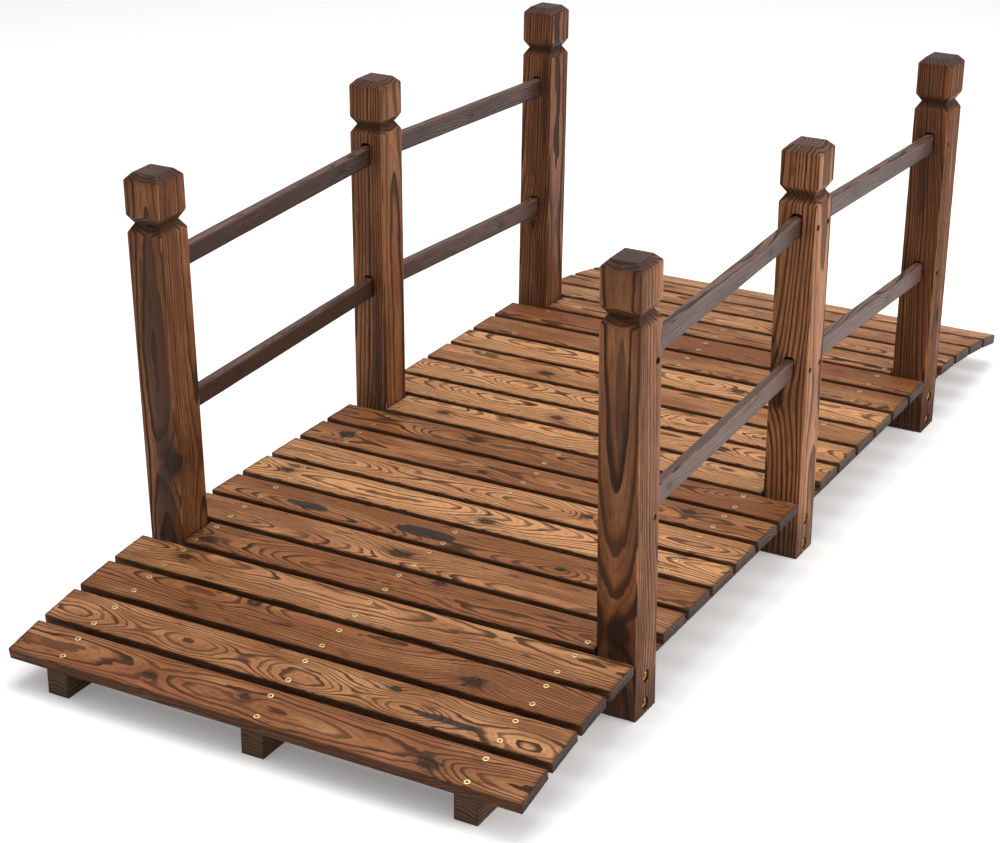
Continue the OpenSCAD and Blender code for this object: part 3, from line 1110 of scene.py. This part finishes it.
class FOOTBRIDGE_OT_bolts(bpy.types.Operator):
    """Build the bolts that hold the posts to the outer beams"""

    bl_idname = "footbridge.bolts"
    bl_label = "Bolts"

    def execute(self, context):
        s = sizes()
        material = metal_finish("yellow_zinc", colours().zinc, (0.10, 0.06, 0.03))
        for side in ("left", "right"):
            parts = []
            beam = Seat(f"{side}_beam", X, Z)
            for k in (1, 2, 3):
                seat = post_seat(f"{side}_post_{k}")
                for j, level in enumerate((s.low_bolt_level, s.high_bolt_level)):
                    parts.append(self.bolt(s, seat, beam, level, spin=0.5 * k + 0.9 * j))
            piece = joined(f"{side}_bolt_set", parts, material, BOLT_SIDES * 2 + 1)
            hand_in(piece, "yellow_zinc", f"{side}_bolts")
        return {"FINISHED"}

    def bolt(self, s, seat, beam, level, spin):
        axis = post_axis(seat, level)
        outward = math.copysign(1, axis[1])
        head_seat = axis + outward * Y * (seat.size[1] / 2 - s.counterbore_depth)
        joint = abs(axis[1]) - seat.size[1] / 2
        tip = -(abs(head_seat[1]) - joint) - (beam.size[1] - BOLT_STOP)
        shank, head, top = s.bolt_size / 2, s.bolt_head / 2, s.bolt_head_thick
        soft = 0.6 * MM
        hexagon = s.bolt_socket / 2
        profile = [(0.3 * MM, tip), (shank - soft, tip), (shank, tip + soft), (shank, 0.0),
                   (head - soft / 2, 0.0), (head, soft / 2), (head, top - soft),
                   (head - 0.3 * soft, top - 0.3 * soft), (head - soft, top),
                   (head * 0.72, top), (hexagon + 0.25 * MM, top), (hexagon, top - 0.2 * MM),
                   (hexagon * 0.96, top / 2), (hexagon * 0.3, top / 2 - 0.2 * MM)]

        def recess(k, angle, radius, height):
            if k < len(profile) - 4:
                return radius, height
            sixth = math.pi / 6
            flat = math.cos(sixth) / math.cos((angle + sixth) % (2 * sixth) - sixth)
            return radius * flat, height

        return set_on(turned(profile, BOLT_SIDES, recess), head_seat, outward * Y, spin)


def screw_body(head):
    """A countersunk screw with a cross recess; its head's rim is at height zero."""
    r = head / 2
    profile = [(0.2 * MM, -9 * MM), (1.3 * MM, -8 * MM), (1.4 * MM, -r * 0.75),
               (r * 0.97, -0.35 * MM), (r, -0.1 * MM), (r * 0.96, 0.0),
               (r * 0.72, 0.04 * MM), (r * 0.56, 0.0), (r * 0.42, -0.10 * MM),
               (r * 0.24, -0.5 * MM), (r * 0.08, -1.0 * MM)]

    def recess(k, angle, radius, height):
        if k >= 7:  # four arms, each as wide as two steps round
            arm = math.cos(2 * angle) ** 2
            return radius * (0.72 + 0.28 * arm), height - (0.3 * MM if 7 < k < 10 else 0) * arm
        return radius, height

    return turned(profile, SCREW_SIDES, recess)


class FOOTBRIDGE_OT_screws(bpy.types.Operator):
    """Build the screws of the planks and of the rails"""

    bl_idname = "footbridge.screws"
    bl_label = "Screws"

    def execute(self, context):
        s = sizes()
        material = metal_finish("screw_plating", colours().brass, (0.12, 0.07, 0.03))
        rng = np.random.default_rng([s.seed, 900])
        for side in ("left", "middle", "right"):
            y = Seat(f"{side}_beam", X, Z).centre[1]
            parts = []
            for name in nodes_with("plank_"):
                seat = Seat(name, Y, -facing(name, -Z))
                for across in (-s.screw_spread, s.screw_spread):
                    spot = np.array([y - seat.middle[0] + rng.normal(0, 1.3) * MM,
                                     across + rng.normal(0, 1.6) * MM, seat.size[2] / 2])
                    top = seat.world(spot[None])[0] + seat.axes[2] * 0.12 * MM
                    parts.append(set_on(screw_body(s.screw_head), top, seat.axes[2],
                                        rng.uniform(0, math.pi)))
            piece = joined(f"{side}_deck_screws", parts, material, SCREW_SIDES * 3 + 1)
            hand_in(piece, "yellow_zinc")
        self.rail_screws(s, material, rng)
        return {"FINISHED"}

    def rail_screws(self, s, material, rng):
        parts = []
        for _, spot, out in rail_screw_spots(s):
            seat = spot - out * s.rail_screw_depth * 0.85
            parts.append(set_on(screw_body(s.rail_screw_head), seat, out, rng.uniform(0, math.pi)))
        piece = joined("rail_screws", parts, material, SCREW_SIDES * 3 + 1)
        hand_in(piece, "yellow_zinc")


# ---- stage


FOCAL = 82.88  # millimetres, for a sensor 36 mm wide
EYE = (-2.5196, -1.2838, 1.3176)
YAW, PITCH, ROLL = 0.5073, 0.4031, 0.0025


def studio_light(name, spot, aim, size, power):
    lamp = bpy.data.lights.new(name, "AREA")
    lamp.shape = "RECTANGLE"
    lamp.size, lamp.size_y = size
    lamp.energy = power
    light = bpy.data.objects.new(name, lamp)
    light.location = spot
    light.rotation_euler = (Vector(aim) - Vector(spot)).to_track_quat("-Z", "Y").to_euler()
    bpy.context.scene.collection.objects.link(light)


class FOOTBRIDGE_OT_stage(bpy.types.Operator):
    """Set up the floor, the lights and the camera"""

    bl_idname = "footbridge.stage"
    bl_label = "Stage"

    def execute(self, context):
        self.camera()
        self.floor()
        studio_light("overhead", (0.3, 0.3, 3.2), (0.0, 0.0, 0.0), (2.6, 2.2), 78)
        studio_light("side", (0.2, -3.4, 1.3), (0.1, 0.0, 0.25), (2.6, 1.4), 72)
        world = bpy.data.worlds.new("studio")
        world.use_nodes = True
        world.node_tree.nodes["Background"].inputs["Color"].default_value = (1, 1, 1, 1)
        world.node_tree.nodes["Background"].inputs["Strength"].default_value = 0.55
        context.scene.world = world
        context.scene.view_settings.view_transform = "Standard"
        return {"FINISHED"}

    def camera(self):
        forward = Vector((math.cos(YAW) * math.cos(PITCH), math.sin(YAW) * math.cos(PITCH),
                          -math.sin(PITCH)))
        level = Vector((math.sin(YAW), -math.cos(YAW), 0))
        upright = level.cross(forward)
        right = level * math.cos(ROLL) + upright * math.sin(ROLL)
        up = upright * math.cos(ROLL) - level * math.sin(ROLL)
        data = bpy.data.cameras.new("camera")
        data.sensor_width = 36.0
        data.lens = FOCAL
        camera = bpy.data.objects.new("camera", data)
        turn = Matrix((right, up, -forward)).transposed()
        camera.matrix_world = Matrix.Translation(EYE) @ turn.to_4x4()
        bpy.context.scene.collection.objects.link(camera)
        bpy.context.scene.camera = camera

    def floor(self):
        shape = bmesh.new()
        bmesh.ops.create_grid(shape, x_segments=8, y_segments=8, size=14.0)
        mesh = bpy.data.meshes.new("floor")
        shape.to_mesh(mesh)
        shape.free()
        finish = Finish("floor")
        finish.wear(Base_Color=colours().floor, Roughness=0.9, Specular_IOR_Level=0.0,
                    Emission_Color=colours().floor, Emission_Strength=0.20)
        mesh.materials.append(finish.material)
        floor = bpy.data.objects.new("floor", mesh)
        floor.location.z = -0.3 * MM
        bpy.context.scene.collection.objects.link(floor)


# ---- panel and run


OPERATORS = (FOOTBRIDGE_OT_planks, FOOTBRIDGE_OT_beams, FOOTBRIDGE_OT_posts, FOOTBRIDGE_OT_rails,
             FOOTBRIDGE_OT_bolts, FOOTBRIDGE_OT_screws, FOOTBRIDGE_OT_stage)


class FOOTBRIDGE_PT_panel(bpy.types.Panel):
    """Sizes, colours and building steps of the footbridge"""

    bl_idname = "FOOTBRIDGE_PT_panel"
    bl_label = "Footbridge"
    bl_space_type = "VIEW_3D"
    bl_region_type = "UI"
    bl_category = "Footbridge"

    def draw(self, context):
        for group in (context.scene.footbridge_sizes, context.scene.footbridge_colours):
            box = self.layout.box()
            for key in group.__annotations__:
                box.prop(group, key)
        for operator in OPERATORS:
            self.layout.operator(operator.bl_idname)


CLASSES = (FOOTBRIDGE_PG_sizes, FOOTBRIDGE_PG_colours, *OPERATORS, FOOTBRIDGE_PT_panel)


def register():
    for cls in CLASSES:
        bpy.utils.register_class(cls)
    bpy.types.Scene.footbridge_sizes = PointerProperty(type=FOOTBRIDGE_PG_sizes)
    bpy.types.Scene.footbridge_colours = PointerProperty(type=FOOTBRIDGE_PG_colours)


def unregister():
    del bpy.types.Scene.footbridge_colours
    del bpy.types.Scene.footbridge_sizes
    for cls in reversed(CLASSES):
        bpy.utils.unregister_class(cls)


def main():
    register()
    bpy.ops.footbridge.planks()
    bpy.ops.footbridge.beams()
    bpy.ops.footbridge.posts()
    bpy.ops.footbridge.rails()
    bpy.ops.footbridge.bolts()
    bpy.ops.footbridge.screws()
    bpy.ops.footbridge.stage()


if __name__ == "__main__":
    main()
